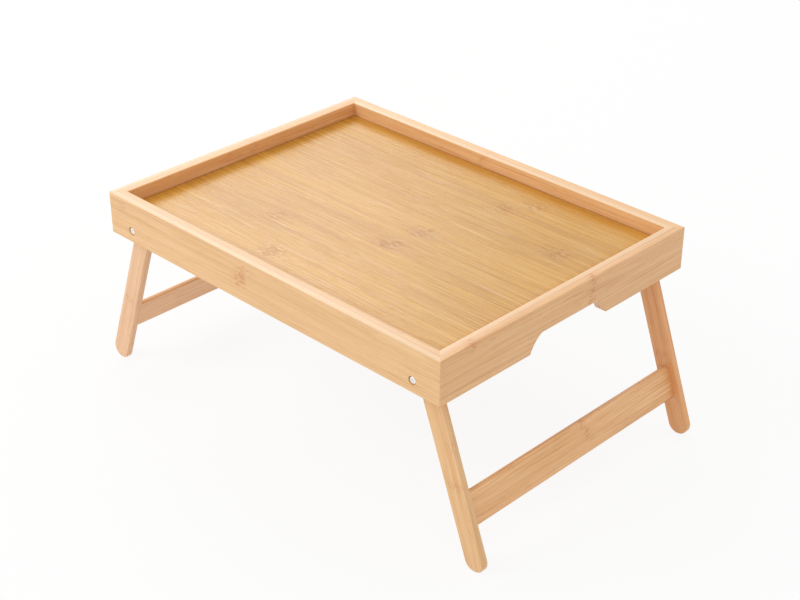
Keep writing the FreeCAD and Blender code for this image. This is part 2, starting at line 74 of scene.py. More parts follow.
def add(tree, kind, inputs=(), **settings):
    """A new node with its settings. An input takes a number or a colour, or is linked to a socket or node.

    Inputs go by name or by number. Numbers 1 to 4 of a Map Range are the limits that it maps from and to,
    and 6 and 7 of a colour Mix are its two colours.
    """
    node = tree.nodes.new(kind)
    for name, value in settings.items():
        setattr(node, name, value)
    for key, value in dict(inputs).items():
        if isinstance(value, bpy.types.Node):
            value = value.outputs[0]
        if isinstance(value, bpy.types.NodeSocket):
            tree.links.new(value, node.inputs[key])
        else:
            node.inputs[key].default_value = value
    return node


def culm_joint_group():
    """The mark that a bamboo culm's joint leaves in a strip: a loose band of short dark scribbles, with pale
    ones as painted glints.

    Point is in the strip's own millimetres, Centre is the band's middle, Reach is half its length across
    the strip, Spread is how far the scribbles scatter along the grain, Slant is how far the band leans, and
    Depth is how far it goes into the wood.
    """
    group = bpy.data.node_groups.new("culm_joint_mark", "ShaderNodeTree")
    for name in ("Point", "Centre", "Reach", "Spread", "Slant", "Depth"):
        kind = "NodeSocketVector" if name in ("Point", "Centre") else "NodeSocketFloat"
        group.interface.new_socket(name, in_out="INPUT", socket_type=kind)
    for name in ("Dark", "Glint"):
        group.interface.new_socket(name, in_out="OUTPUT", socket_type="NodeSocketFloat")
    given = add(group, "NodeGroupInput").outputs
    # the band's outline is ragged by a few millimetres
    ragged = add(group, "ShaderNodeTexNoise", {"Vector": given["Point"], "Scale": 0.35, "Detail": 1.0})
    ragged = add(group, "ShaderNodeVectorMath", {0: ragged.outputs["Color"], 1: noise_middle},
                 operation="SUBTRACT")
    ragged = add(group, "ShaderNodeVectorMath", {0: ragged, 1: (7.0, 5.0, 0.0)}, operation="MULTIPLY")
    offset = add(group, "ShaderNodeVectorMath", {0: given["Point"], 1: given["Centre"]},
                 operation="SUBTRACT")
    offset = add(group, "ShaderNodeVectorMath", {0: offset, 1: ragged}, operation="ADD")
    parts = add(group, "ShaderNodeSeparateXYZ", {0: offset}).outputs
    # it fades along the grain as a bell curve, and ends at its reach across the strip and at its depth
    lean = add(group, "ShaderNodeMath", {0: parts["Y"], 1: given["Slant"]}, operation="MULTIPLY")
    along = add(group, "ShaderNodeMath", {0: parts["X"], 1: lean}, operation="SUBTRACT")
    share = add(group, "ShaderNodeMath", {0: along, 1: given["Spread"]}, operation="DIVIDE")
    square = add(group, "ShaderNodeMath", {0: share, 1: share}, operation="MULTIPLY")
    minus = add(group, "ShaderNodeMath", {0: square, 1: -0.5}, operation="MULTIPLY")
    band = add(group, "ShaderNodeMath", {0: minus}, operation="EXPONENT")
    width = add(group, "ShaderNodeMath", {0: parts["Y"]}, operation="ABSOLUTE")
    edge = add(group, "ShaderNodeMath", {0: given["Reach"], 1: 0.6}, operation="MULTIPLY")
    inside = add(group, "ShaderNodeMapRange", {0: width, 1: edge, 2: given["Reach"], 3: 1.0, 4: 0.0},
                 interpolation_type="SMOOTHSTEP")
    thickness = add(group, "ShaderNodeMath", {0: parts["Z"]}, operation="ABSOLUTE")
    within = add(group, "ShaderNodeMath", {0: thickness, 1: given["Depth"]}, operation="LESS_THAN")
    area = add(group, "ShaderNodeMath", {0: band, 1: inside}, operation="MULTIPLY")
    area = add(group, "ShaderNodeMath", {0: area, 1: within}, operation="MULTIPLY")
    # within it lie the scribbles, a noise's high parts dark and its low parts painted highlights of sheen
    scale = tuple(1 / size for size in scribble_mm)
    scribble_point = add(group, "ShaderNodeMapping", {"Vector": given["Point"], "Scale": scale})
    scribbles = add(group, "ShaderNodeTexNoise", {"Vector": scribble_point, "Scale": 1.0, "Detail": 1.0})
    dark = add(group, "ShaderNodeMapRange", {0: scribbles, 1: 0.48, 2: 0.62, 3: 0.3, 4: 1.0})
    painted_highlight = add(group, "ShaderNodeMapRange", {0: scribbles, 1: 0.46, 2: 0.36, 3: 0.0, 4: 1.0})
    marked = {}
    for number, scribble in enumerate((dark, painted_highlight)):
        marked[number] = add(group, "ShaderNodeMath", {0: area, 1: scribble}, operation="MULTIPLY")
    add(group, "NodeGroupOutput", marked)
    return group


culm_joint_mark = culm_joint_group()


def lacquered_bamboo(name, grain, across, middle_mm, light, dark, seed, marks=(), layers=True, strips=True,
                     gloss=0.3, contrast=1.2, mark_tint="#DFB394", painted_top_sheen=0, relief_mm=0.03,
                     well_mm=()):
    """Strip bamboo, planed and sanded, then sprayed with satin clear lacquer.

    To the eye it is cream to tan with fine straight fibres, thin brown dashes, a slight step in tone from
    strip to strip, and a soft sheen that the fibres break up. The grain runs along grain, strips lie side
    by side along across, and middle_mm is the middle of the piece. A mark is its place, half its length,
    its spread along the grain, its slant and its strength. gloss is the roughness, about 0.3 under satin
    lacquer and 0.55 on wood left bare. well_mm is half the length and width of the tray's well, for the
    piece that is its floor.
    """
    material = bpy.data.materials.new(name)
    material.use_nodes = True
    tree = material.node_tree
    shader = tree.nodes["Principled BSDF"]
    # the piece's own millimetres: X along the grain, Y across the strips and Z through the layers
    turn = Matrix((grain, across, Vector(grain).cross(Vector(across))))
    start = turn @ Vector(middle_mm)
    place = add(tree, "ShaderNodeTexCoord")
    point = add(tree, "ShaderNodeMapping", {"Vector": place.outputs["Object"], "Location": -start,
                                            "Rotation": turn.to_euler(), "Scale": (1 / MM,) * 3})
    parts = add(tree, "ShaderNodeSeparateXYZ", {0: point})
    # slow wander of the fibres, about 1 mm sideways in 100 mm
    slow = add(tree, "ShaderNodeMapping", {"Vector": point, "Location": (seed, seed, 0),
                                           "Scale": (1 / 110, 1 / 30, 1 / 30)})
    wander = add(tree, "ShaderNodeTexNoise", {"Vector": slow, "Scale": 1.0, "Detail": 1.0})
    push = add(tree, "ShaderNodeVectorMath", {0: wander.outputs["Color"], 1: noise_middle},
               operation="SUBTRACT")
    push = add(tree, "ShaderNodeVectorMath", {0: push, 1: (0.0, 3.5, 3.5)}, operation="MULTIPLY")
    fibre_point = add(tree, "ShaderNodeVectorMath", {0: point, 1: push}, operation="ADD")

    def streaks(length_mm, width_mm, shift, detail=1.0):
        """Streaks of one length along the grain and one width across it. shift sets each kind apart."""
        stretched = add(tree, "ShaderNodeMapping", {
            "Vector": fibre_point, "Location": (seed + shift, shift, seed),
            "Scale": (1 / length_mm, 1 / width_mm, 1 / width_mm)})
        return add(tree, "ShaderNodeTexNoise", {"Vector": stretched, "Scale": 1.0, "Detail": detail})

    fine = streaks(75, 1.0, 3, detail=2.0)
    coarse = streaks(170, 4.5, 7)
    long_lines = streaks(90, 0.8, 11)
    dashes = streaks(14, 0.5, 17)
    bundles = streaks(220, 9, 23)
    glinting_fibres = streaks(110, 0.9, 29)
    # bundles of marked fibres lie between calm ones
    strength = add(tree, "ShaderNodeMapRange", {0: bundles, 1: 0.35, 2: 0.65,
                                                3: 0.3 * contrast, 4: 2.6 * contrast})
    tone = add(tree, "ShaderNodeMath", {0: fine, 1: 0.5}, operation="SUBTRACT")
    tone = add(tree, "ShaderNodeMath", {0: tone, 1: strength}, operation="MULTIPLY")
    swing = 0.2 * contrast
    broad = add(tree, "ShaderNodeMapRange", {0: coarse, 1: 0.25, 2: 0.75, 3: 0.5 - swing, 4: 0.5 + swing},
                clamp=False)
    tone = add(tree, "ShaderNodeMath", {0: tone, 1: broad}, operation="ADD")
    if strips:
        # each strip of each layer has a tone of its own
        row = add(tree, "ShaderNodeMath", {0: parts.outputs["Y"], 1: strip_width_mm}, operation="DIVIDE")
        row = add(tree, "ShaderNodeMath", {0: row}, operation="FLOOR")
        column = add(tree, "ShaderNodeMath", {0: parts.outputs["Z"], 1: layer_mm}, operation="DIVIDE")
        column = add(tree, "ShaderNodeMath", {0: column}, operation="FLOOR")
        cell = add(tree, "ShaderNodeCombineXYZ", {0: row, 1: column, 2: float(seed)})
        chance = add(tree, "ShaderNodeTexWhiteNoise", {0: cell}, noise_dimensions="3D")
        step = add(tree, "ShaderNodeMapRange", {0: chance.outputs["Value"], 3: -0.16, 4: 0.16})
        tone = add(tree, "ShaderNodeMath", {0: tone, 1: step}, operation="ADD")
    colour = add(tree, "ShaderNodeMix", {"Factor": tone, 6: linear(dark), 7: linear(light)},
                 data_type="RGBA")
    base = colour.outputs[2]

    def stain_and_shade(base, mask, tint, most):
        """The base colour multiplied by a tint where the mask is, for the wood's stains and for painted
        shade.
        """
        factor = add(tree, "ShaderNodeMath", {0: mask, 1: most}, operation="MULTIPLY", use_clamp=True)
        return add(tree, "ShaderNodeMix", {0: factor, 6: base, 7: linear(tint)}, data_type="RGBA",
                   blend_type="MULTIPLY").outputs[2]

    base = stain_and_shade(base, add(tree, "ShaderNodeMapRange", {0: dashes, 1: 0.66, 2: 0.74}), "#C69468", 0.5)
    base = stain_and_shade(base, add(tree, "ShaderNodeMapRange", {0: long_lines, 1: 0.66, 2: 0.76}), "#D8A070", 0.5)
    # painted highlights: some fibres are painted pale, as glints of the sheen along them
    bright = add(tree, "ShaderNodeMapRange", {0: glinting_fibres, 1: 0.6, 2: 0.72, 3: 0.0, 4: 0.3 * contrast})
    base = add(tree, "ShaderNodeMix", {0: bright, 6: base, 7: linear("#F8DAB0")},
               data_type="RGBA").outputs[2]
    if layers:
        # the glue line between the two layers, drawn about 0.8 mm wide so that it shows
        depth = add(tree, "ShaderNodeMath", {0: parts.outputs["Z"]}, operation="ABSOLUTE")
        glue_line = add(tree, "ShaderNodeMapRange", {0: depth, 1: 0.15, 2: 0.6, 3: 1.0, 4: 0.0})
        base = stain_and_shade(base, glue_line, "#D9AE80", 0.7)
    if painted_top_sheen:
        # painted sheen: the top edge is painted paler towards one layer; the sign says which, the size how
        # much
        half_mm = rail_height_mm / 2
        top = add(tree, "ShaderNodeMapRange", {0: parts.outputs["Y"], 1: half_mm - 1.1, 2: half_mm - 0.4})
        side = add(tree, "ShaderNodeMath", {0: parts.outputs["Z"], 1: math.copysign(1, painted_top_sheen)},
                   operation="MULTIPLY")
        side = add(tree, "ShaderNodeMapRange", {0: side, 1: -4.0, 2: 4.5, 4: abs(painted_top_sheen)})
        painted_highlight = add(tree, "ShaderNodeMath", {0: top, 1: side}, operation="MULTIPLY")
        base = add(tree, "ShaderNodeMix", {0: painted_highlight, 6: base, 7: linear("#F6D6B2")},
                   data_type="RGBA").outputs[2]
    if well_mm:
        # painted shade along the foot of the rim, which deepens the wood to gold
        margins = []
        for axis, half_mm in zip("XY", well_mm):
            away = add(tree, "ShaderNodeMath", {0: parts.outputs[axis]}, operation="ABSOLUTE")
            margins.append(add(tree, "ShaderNodeMath", {0: half_mm, 1: away}, operation="SUBTRACT"))
        margin = add(tree, "ShaderNodeMath", {0: margins[0], 1: margins[1]}, operation="MINIMUM")
        rim_foot_shade = add(tree, "ShaderNodeMapRange", {0: margin, 1: 8.0, 2: 20.0, 3: 1.0, 4: 0.0},
                   interpolation_type="SMOOTHSTEP")
        base = stain_and_shade(base, rim_foot_shade, "#F8EAB0", 1.0)
        # painted shadow: the joint with the rim is darkened as the shadow in its gap
        joint = add(tree, "ShaderNodeMapRange", {0: margin, 1: 0.5, 2: 2.5, 3: 1.0, 4: 0.0})
        base = stain_and_shade(base, joint, "#DEBDA8", 0.7)
    height = fine.outputs[0]
    for centre, reach, spread, slant, most in marks:
        place_mm = turn @ (Vector(centre) - Vector(middle_mm))
        mark = add(tree, "ShaderNodeGroup", {"Point": point, "Centre": place_mm, "Reach": reach,
                                             "Spread": spread, "Slant": slant, "Depth": mark_depth_mm},
                   node_tree=culm_joint_mark)
        base = stain_and_shade(base, mark, mark_tint, most)
        # painted highlight: the pale scribbles are glints of the sheen, mixed into the colour
        painted_highlight = add(tree, "ShaderNodeMath", {0: mark.outputs["Glint"], 1: 0.3 * most}, operation="MULTIPLY")
        base = add(tree, "ShaderNodeMix", {0: painted_highlight, 6: base, 7: linear("#FBE3C0")},
                   data_type="RGBA").outputs[2]
        # the dark scribbles lie a little deeper than the wood round them
        sunk = add(tree, "ShaderNodeMath", {0: mark, 1: -0.6 * most, 2: height}, operation="MULTIPLY_ADD")
        height = sunk.outputs[0]
    tree.links.new(base, shader.inputs["Base Color"])
    # the lacquer lies a little deeper in the pores, so the fibres break up its gloss
    rough = add(tree, "ShaderNodeMapRange", {0: fine, 1: 0.25, 2: 0.75, 3: gloss - 0.05, 4: gloss + 0.07})
    tree.links.new(rough.outputs[0], shader.inputs["Roughness"])
    shader.inputs["IOR"].default_value = 1.5
    relief = add(tree, "ShaderNodeBump", {"Height": height, "Strength": 1.0, "Distance": relief_mm * MM})
    tree.links.new(relief.outputs[0], shader.inputs["Normal"])
    return material


def dress(name, material, edge_mm=0.25):
    """Give a piece of the frame its material and a fine broken edge, so that its joints show as lines."""
    piece = nodes[name]
    piece.data.materials.clear()
    piece.data.materials.append(material)
    weld = piece.modifiers.new("weld", "WELD")
    weld.merge_threshold = 0.01 * MM
    bevel = piece.modifiers.new("broken_edge", "BEVEL")
    bevel.width = edge_mm * MM
    bevel.segments = 2
    bevel.limit_method = "ANGLE"
    bevel.angle_limit = math.radians(35)
    bevel.harden_normals = False


along_x, along_y, upright = (1, 0, 0), (0, 1, 0), (0, 0, 1)
front_marks = (((-23.4, -150, 171.5), 13, 6.0, 0.6, 0.75), ((-182, -150, 179), 8, 3.0, 0.2, 0.4))
back_marks = (((-18.9, 138, 179), 10, 3.0, 0.3, 0.5),)
# the last number of each row is the painted sheen on the rail's top edge, its sign picking the layer
for name, side, light, dark, marks, seed, painted_top_sheen in (
        ("front_long_rail", -1, "#F0C592", "#D6A56C", front_marks, 3, 0.55),
        ("back_long_rail", 1, "#FACD98", "#E2AC72", back_marks, 8, 0.8)):
    middle_mm = (0, side * rail_centre_y_mm, rail_middle_mm)
    dress(name, lacquered_bamboo("lacquered_bamboo_" + name, along_x, upright, middle_mm, light, dark, seed,
                                 marks, painted_top_sheen=painted_top_sheen, contrast=0.9))

# -------------------------------------------------------------------------------------------------------
# Short rails. Left and right boards of the rim, of the same strips and finish as the long ones, with the
# grain along Y. Each has a finger cut-out milled into its lower edge, with hollow ends.
# -------------------------------------------------------------------------------------------------------
rail_centre_x_mm = 194
left_marks = (((-194, 6.2, 182), 10, 3.0, 0.3, 0.4),)
right_marks = (((200, 27.4, 178), 18, 3.0, 0.1, 0.7), ((196, -114.6, 186), 6, 3.0, 0.2, 0.6))
for name, side, light, dark, marks, seed in (
        ("left_short_rail", -1, "#F8C28A", "#E0A062", left_marks, 15),
        ("right_short_rail", 1, "#F2C28E", "#D8A064", right_marks, 21)):
    middle_mm = (side * rail_centre_x_mm, 0, rail_middle_mm)
    # the top edge gets a painted sheen, as on the long rails
    dress(name, lacquered_bamboo("lacquered_bamboo_" + name, along_y, upright, middle_mm, light, dark, seed,
                                 marks, painted_top_sheen=-0.7, contrast=1.1))

# -------------------------------------------------------------------------------------------------------
# Tray panel. A 5 mm board of edge-glued bamboo strips with the grain along X, rebated to a tongue that
# sits in the rails' groove. It is sanded and lacquered to a satin, through which its fibres and culm
# joints stand out.
# -------------------------------------------------------------------------------------------------------
panel_middle_mm = (0, 0, 173)
panel_face_mm = 175.5
panel_marks = tuple(((x, y, panel_face_mm), 12, 8.0, 0.3, 0.8 * most) for x, y, most in (
    (-33, -107.6, 1.0), (-79, -60, 0.6), (28.7, -28.9, 1.0), (34.7, 5, 0.8), (53.2, 87, 0.7),
    (70.6, 109.7, 0.7), (139.5, 55.6, 0.9)))
# the relief is drawn several times deeper than the real one, or it would be too fine to break up the sheen
dress("tray_panel", lacquered_bamboo(
    "lacquered_bamboo_panel", along_x, along_y, panel_middle_mm, "#DBA850", "#C28C3E", 5, panel_marks,
    layers=False, gloss=0.27, contrast=1.4, mark_tint="#D8BA9A", relief_mm=0.28,
    well_mm=(rail_centre_x_mm - layer_mm, rail_centre_y_mm - layer_mm)))

# -------------------------------------------------------------------------------------------------------
# Corner splines. Four thin slips of bare bamboo, sawn with the grain upright and glued into slots across
# the mitres.
# -------------------------------------------------------------------------------------------------------
for seed, name in enumerate(("front_left_spline", "back_left_spline", "front_right_spline",
                             "back_right_spline"), start=30):
    low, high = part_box(name)
    dress(name, lacquered_bamboo("sawn_bamboo_" + name, upright, along_x, (low + high) / 2 / MM, "#EBC490",
                                 "#D2A36C", seed, layers=False, strips=False, gloss=0.55), edge_mm=0.1)

# -------------------------------------------------------------------------------------------------------
# Pivot screws. Four M4 machine screws of zinc-plated steel, with pan heads and a cross recess, pushed
# through the long rails from outside until each head sits at the bottom of its counterbore.
# -------------------------------------------------------------------------------------------------------
pivot_x_mm, pivot_z_mm = 171, 159
head_seat_mm = 146.4


def new_geometry(name, sizes):
    """A geometry tree with a named input for each size, and its input sockets."""
    tree = bpy.data.node_groups.new(name, "GeometryNodeTree")
    tree.interface.new_socket("Geometry", in_out="OUTPUT", socket_type="NodeSocketGeometry")
    for size in sizes:
        tree.interface.new_socket(size, in_out="INPUT", socket_type="NodeSocketFloat")
    return tree, add(tree, "NodeGroupInput").outputs


def blank(tree, around, rings):
    """The sheet that a turned shape is wrapped from, the angle round the axis and the number of the ring."""
    sheet = add(tree, "GeometryNodeMeshGrid", {"Vertices X": around + 1, "Vertices Y": rings})
    place = add(tree, "ShaderNodeSeparateXYZ", {0: add(tree, "GeometryNodeInputPosition")}).outputs
    angle = add(tree, "ShaderNodeMapRange", {0: place["X"], 1: -0.5, 2: 0.5, 3: 0.0, 4: math.tau})
    ring = add(tree, "ShaderNodeMapRange", {0: place["Y"], 1: -0.5, 2: 0.5, 3: 0.0, 4: rings - 1.0})
    ring = add(tree, "ShaderNodeMath", {0: ring}, operation="ROUND")
    return sheet.outputs["Mesh"], angle, ring


def wrap(tree, sheet, angle, radius, level):
    """The sheet wrapped round the Z axis by each point's radius and level, with its seam and ends closed."""
    cosine = add(tree, "ShaderNodeMath", {0: angle}, operation="COSINE")
    sine = add(tree, "ShaderNodeMath", {0: angle}, operation="SINE")
    x = add(tree, "ShaderNodeMath", {0: cosine, 1: radius}, operation="MULTIPLY")
    y = add(tree, "ShaderNodeMath", {0: sine, 1: radius}, operation="MULTIPLY")
    place = add(tree, "ShaderNodeCombineXYZ", {0: x, 1: y, 2: level})
    placed = add(tree, "GeometryNodeSetPosition", {"Geometry": sheet, "Position": place})
    return add(tree, "GeometryNodeMergeByDistance", {"Geometry": placed, "Distance": 0.002 * MM})


def outline(tree, ring, points):
    """The radius and level of each ring of a turned shape. A point's own numbers may be sockets."""
    pick = add(tree, "GeometryNodeIndexSwitch", data_type="VECTOR")
    while len(pick.index_switch_items) < len(points):
        pick.index_switch_items.new()
    tree.links.new(ring.outputs[0], pick.inputs[0])
    for number, (radius, level) in enumerate(points, start=1):
        point = add(tree, "ShaderNodeCombineXYZ", {0: radius, 2: level})
        tree.links.new(point.outputs[0], pick.inputs[number])
    chosen = add(tree, "ShaderNodeSeparateXYZ", {0: pick}).outputs
    return chosen["X"], chosen["Z"]


def fit_on_pivots(tree, part, given, outward, material):
    """End a tree with copies of a part on the four pivots, their faces soft and their edges crisp.

    outward is 1 where the part's Z axis points out of the table, and -1 where it points in.
    """
    across, deep = (add(tree, "ShaderNodeMath", {0: given[size], 1: 2.0}, operation="MULTIPLY")
                    for size in ("Pivot X", "Seat Y"))
    corners = add(tree, "GeometryNodeMeshGrid", {"Size X": across, "Size Y": deep,
                                                 "Vertices X": 2, "Vertices Y": 2})
    lift = add(tree, "ShaderNodeCombineXYZ", {2: given["Pivot Z"]})
    raised = add(tree, "GeometryNodeTransform", {"Geometry": corners.outputs["Mesh"], "Translation": lift})
    place = add(tree, "GeometryNodeInputPosition")
    facing = add(tree, "ShaderNodeVectorMath", {0: place, 1: (0, outward, 0)}, operation="MULTIPLY")
    turn = add(tree, "FunctionNodeAlignRotationToVector", {"Vector": facing}, axis="Z")
    copies = add(tree, "GeometryNodeInstanceOnPoints", {"Points": raised, "Instance": part,
                                                        "Rotation": turn})
    real = add(tree, "GeometryNodeRealizeInstances", {"Geometry": copies})
    bend = add(tree, "GeometryNodeInputMeshEdgeAngle")
    sharp = add(tree, "FunctionNodeCompare", {0: bend, 1: math.radians(32)}, operation="GREATER_THAN")
    crisp = add(tree, "GeometryNodeSetShadeSmooth", {"Geometry": real, "Selection": sharp,
                                                     "Shade Smooth": False}, domain="EDGE")
    painted = add(tree, "GeometryNodeSetMaterial", {"Geometry": crisp, "Material": material})
    add(tree, "NodeGroupOutput", {0: painted})


def made_by(tree, name, sizes):
    """The plain mesh that a geometry tree makes from its sizes, as a piece of the tray."""
    maker = bpy.data.objects.new(name + "_maker", bpy.data.meshes.new(name + "_maker"))
    bpy.context.scene.collection.objects.link(maker)
    modifier = maker.modifiers.new("make", "NODES")
    modifier.node_group = tree
    for socket in tree.interface.items_tree:
        if socket.in_out == "INPUT":
            modifier[socket.identifier] = float(sizes[socket.name])
    seen = maker.evaluated_get(bpy.context.evaluated_depsgraph_get())
    piece = bpy.data.objects.new(name, bpy.data.meshes.new_from_object(seen))
    piece.data.name = name
    bpy.context.scene.collection.objects.link(piece)
    bpy.data.objects.remove(maker)
    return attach(piece, "tray")


# Steel, electroplated with bright zinc: a pale, faintly blue mirror, dulled a little by handling and by
# the plating bath
zinc = bpy.data.materials.new("bright_zinc_plated_steel")
zinc.use_nodes = True
tree = zinc.node_tree
shader = tree.nodes["Principled BSDF"]
spot = add(tree, "ShaderNodeTexCoord").outputs["Object"]
mottle_mm = 1.2
mottle = add(tree, "ShaderNodeTexNoise", {"Vector": spot, "Scale": 1 / (mottle_mm * MM), "Detail": 3.0})
plate = add(tree, "ShaderNodeMix", {"Factor": mottle, 6: linear("#F1F2F4"), 7: linear("#FFFFFF")},
            data_type="RGBA")
dull = add(tree, "ShaderNodeMapRange", {0: mottle, 1: 0.3, 2: 0.7, 3: 0.18, 4: 0.34})
uneven = add(tree, "ShaderNodeBump", {"Height": mottle, "Strength": 0.08, "Distance": 0.05 * MM})
shader.inputs["Metallic"].default_value = 1.0
tree.links.new(plate.outputs[2], shader.inputs["Base Color"])
tree.links.new(dull.outputs[0], shader.inputs["Roughness"])
tree.links.new(uneven.outputs[0], shader.inputs["Normal"])

screw_sizes = {"Pivot X": pivot_x_mm * MM, "Pivot Z": pivot_z_mm * MM, "Seat Y": head_seat_mm * MM,
               "Head Radius": 3.5 * MM, "Head Side": 1.3 * MM, "Head Height": 2.8 * MM,
               "Head Crown": 1.1 * MM, "Recess Span": 3.4 * MM, "Recess Arm": 0.9 * MM,
               "Recess Depth": 1.2 * MM, "Thread Radius": 2 * MM, "Thread Depth": 0.43 * MM,
               "Thread Pitch": 0.7 * MM, "Length": 20.9 * MM}
tree, given = new_geometry("pan_head_screw", screw_sizes)
# the head: a flat underside with a broken edge, an upright side, a round crown and a flat top
edge_break = 0.25 * MM
crown_steps = 8
crown_degrees = 84
underside = add(tree, "ShaderNodeMath", {0: given["Head Radius"], 1: edge_break}, operation="SUBTRACT")
flat = add(tree, "ShaderNodeMath", {0: given["Head Radius"], 1: given["Head Crown"]}, operation="SUBTRACT")
rise = add(tree, "ShaderNodeMath", {0: given["Head Height"], 1: given["Head Side"]}, operation="SUBTRACT")
profile = [(0.0, 0.0), (underside, 0.0), (given["Head Radius"], edge_break)]
for step in range(crown_steps + 1):
    turned = math.radians(crown_degrees * step / crown_steps)
    radius = add(tree, "ShaderNodeMath", {0: given["Head Crown"], 1: math.cos(turned), 2: flat},
                 operation="MULTIPLY_ADD")
    level = add(tree, "ShaderNodeMath", {0: rise, 1: math.sin(turned), 2: given["Head Side"]},
                operation="MULTIPLY_ADD")
    profile.append((radius, level))
profile.append((0.0, given["Head Height"]))
sheet, angle, ring = blank(tree, around=40, rings=len(profile))
head = wrap(tree, sheet, angle, *outline(tree, ring, profile))
# the cross recess: two crossed slots that narrow from mouth to floor and start a little above the head's
# top. The second is a touch deeper, so that their floors differ
slot_shape = {"Vertices": 4, "Radius Top": 0.78, "Radius Bottom": 0.45, "Depth": 1.0}
height_to_depth = 1.3
slots = []
for quarter, deeper in ((0.25, 1.0), (0.75, 1.05)):
    slot = add(tree, "GeometryNodeMeshCone", slot_shape)
    slot = add(tree, "GeometryNodeTransform", {"Geometry": slot.outputs["Mesh"],
                                               "Rotation": (0, 0, math.pi / 4)})
    deep = add(tree, "ShaderNodeMath", {0: given["Recess Depth"], 1: deeper}, operation="MULTIPLY")
    tall = add(tree, "ShaderNodeMath", {0: deep, 1: height_to_depth}, operation="MULTIPLY")
    size = add(tree, "ShaderNodeCombineXYZ", {0: given["Recess Span"], 1: given["Recess Arm"], 2: tall})
    slot = add(tree, "GeometryNodeTransform", {"Geometry": slot, "Scale": size})
    floor = add(tree, "ShaderNodeMath", {0: given["Head Height"], 1: deep}, operation="SUBTRACT")
    place = add(tree, "ShaderNodeCombineXYZ", {2: floor})
    slots.append(add(tree, "GeometryNodeTransform", {
        "Geometry": slot, "Rotation": (0, 0, quarter * math.pi), "Translation": place}))
for slot in slots:
    head = add(tree, "GeometryNodeMeshBoolean", {"Mesh 1": head, "Mesh 2": slot}, operation="DIFFERENCE")
# the shank: its radius follows a thread, and its first and last rings shrink to points that close it
thread_rings = 150
head_overlap = 0.3 * MM
sheet, angle, ring = blank(tree, around=20, rings=thread_rings)
inner = add(tree, "ShaderNodeClamp", {0: ring, 1: 1.0, 2: thread_rings - 2.0})
start = add(tree, "ShaderNodeMath", {0: given["Length"], 1: -1.0}, operation="MULTIPLY")
level = add(tree, "ShaderNodeMapRange", {0: inner, 1: 1.0, 2: thread_rings - 2.0, 3: start,
                                         4: head_overlap})
turns = add(tree, "ShaderNodeMath", {0: level, 1: given["Thread Pitch"]}, operation="DIVIDE")
turns = add(tree, "ShaderNodeMath", {0: angle, 1: 1 / math.tau, 2: turns}, operation="MULTIPLY_ADD")
wave = add(tree, "ShaderNodeMath", {0: turns, 1: 0.5}, operation="PINGPONG")
groove = add(tree, "ShaderNodeMath", {0: wave, 1: 2.0}, operation="MULTIPLY")
groove = add(tree, "ShaderNodeMath", {0: groove, 1: given["Thread Depth"]}, operation="MULTIPLY")
radius = add(tree, "ShaderNodeMath", {0: given["Thread Radius"], 1: groove}, operation="SUBTRACT")
kept = add(tree, "ShaderNodeMath", {0: ring, 1: inner, 2: 0.1}, operation="COMPARE")
radius = add(tree, "ShaderNodeMath", {0: radius, 1: kept}, operation="MULTIPLY")
shank = wrap(tree, sheet, angle, radius, level)
whole = add(tree, "GeometryNodeJoinGeometry")
tree.links.new(head.outputs[0], whole.inputs[0])
tree.links.new(shank.outputs[0], whole.inputs[0])
fit_on_pivots(tree, whole, given, 1, zinc)
pivot_screws = made_by(tree, "pivot_screws", screw_sizes)
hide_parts("left_pivot_screws", "right_pivot_screws")

# -------------------------------------------------------------------------------------------------------
# Spacer washers. A flat washer of natural nylon on each screw keeps the leg clear of the rail, so that it
# swings without rubbing the lacquer. Moulded, with soft edges and a waxy, milky white.
# -------------------------------------------------------------------------------------------------------
nylon = bpy.data.materials.new("moulded_natural_nylon")
nylon.use_nodes = True
tree = nylon.node_tree
shader = tree.nodes["Principled BSDF"]
spot = add(tree, "ShaderNodeTexCoord").outputs["Object"]
cloud_mm = 0.4
cloud = add(tree, "ShaderNodeTexNoise", {"Vector": spot, "Scale": 1 / (cloud_mm * MM), "Detail": 2.0})
milky = add(tree, "ShaderNodeMix", {"Factor": cloud, 6: linear("#E4E2D8"), 7: linear("#F2F0E8")},
            data_type="RGBA")
moulded = add(tree, "ShaderNodeBump", {"Height": cloud, "Strength": 0.1, "Distance": 0.03 * MM})
tree.links.new(milky.outputs[2], shader.inputs["Base Color"])
tree.links.new(moulded.outputs[0], shader.inputs["Normal"])
shader.inputs["Roughness"].default_value = 0.42
shader.inputs["IOR"].default_value = 1.53


def washer(name, material, seat_mm, diameter_mm, thickness_mm, bore_mm, ease_mm):
    """Four washers with eased edges, one on each pivot. seat_mm is where the face that looks inward lies."""
    sizes = {"Pivot X": pivot_x_mm * MM, "Pivot Z": pivot_z_mm * MM, "Seat Y": seat_mm * MM,
             "Radius": diameter_mm / 2 * MM, "Bore": bore_mm / 2 * MM, "Thickness": thickness_mm * MM,
             "Ease": ease_mm * MM}
    tree, given = new_geometry(name, sizes)
    out_in = add(tree, "ShaderNodeMath", {0: given["Radius"], 1: given["Ease"]}, operation="SUBTRACT")
    bore_out = add(tree, "ShaderNodeMath", {0: given["Bore"], 1: given["Ease"]}, operation="ADD")
    top_in = add(tree, "ShaderNodeMath", {0: given["Thickness"], 1: given["Ease"]}, operation="SUBTRACT")
    loop = [(bore_out, 0.0), (out_in, 0.0), (given["Radius"], given["Ease"]), (given["Radius"], top_in),
            (out_in, given["Thickness"]), (bore_out, given["Thickness"]), (given["Bore"], top_in),
            (given["Bore"], given["Ease"]), (bore_out, 0.0)]
    sheet, angle, ring = blank(tree, around=32, rings=len(loop))
    fit_on_pivots(tree, wrap(tree, sheet, angle, *outline(tree, ring, loop)), given, 1, material)
    return made_by(tree, name, sizes)


spacer_washers = washer("spacer_washers", nylon, seat_mm=136.5, diameter_mm=12, thickness_mm=1.5,
                        bore_mm=4.3, ease_mm=0.2)
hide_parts("left_spacer_washers", "right_spacer_washers")

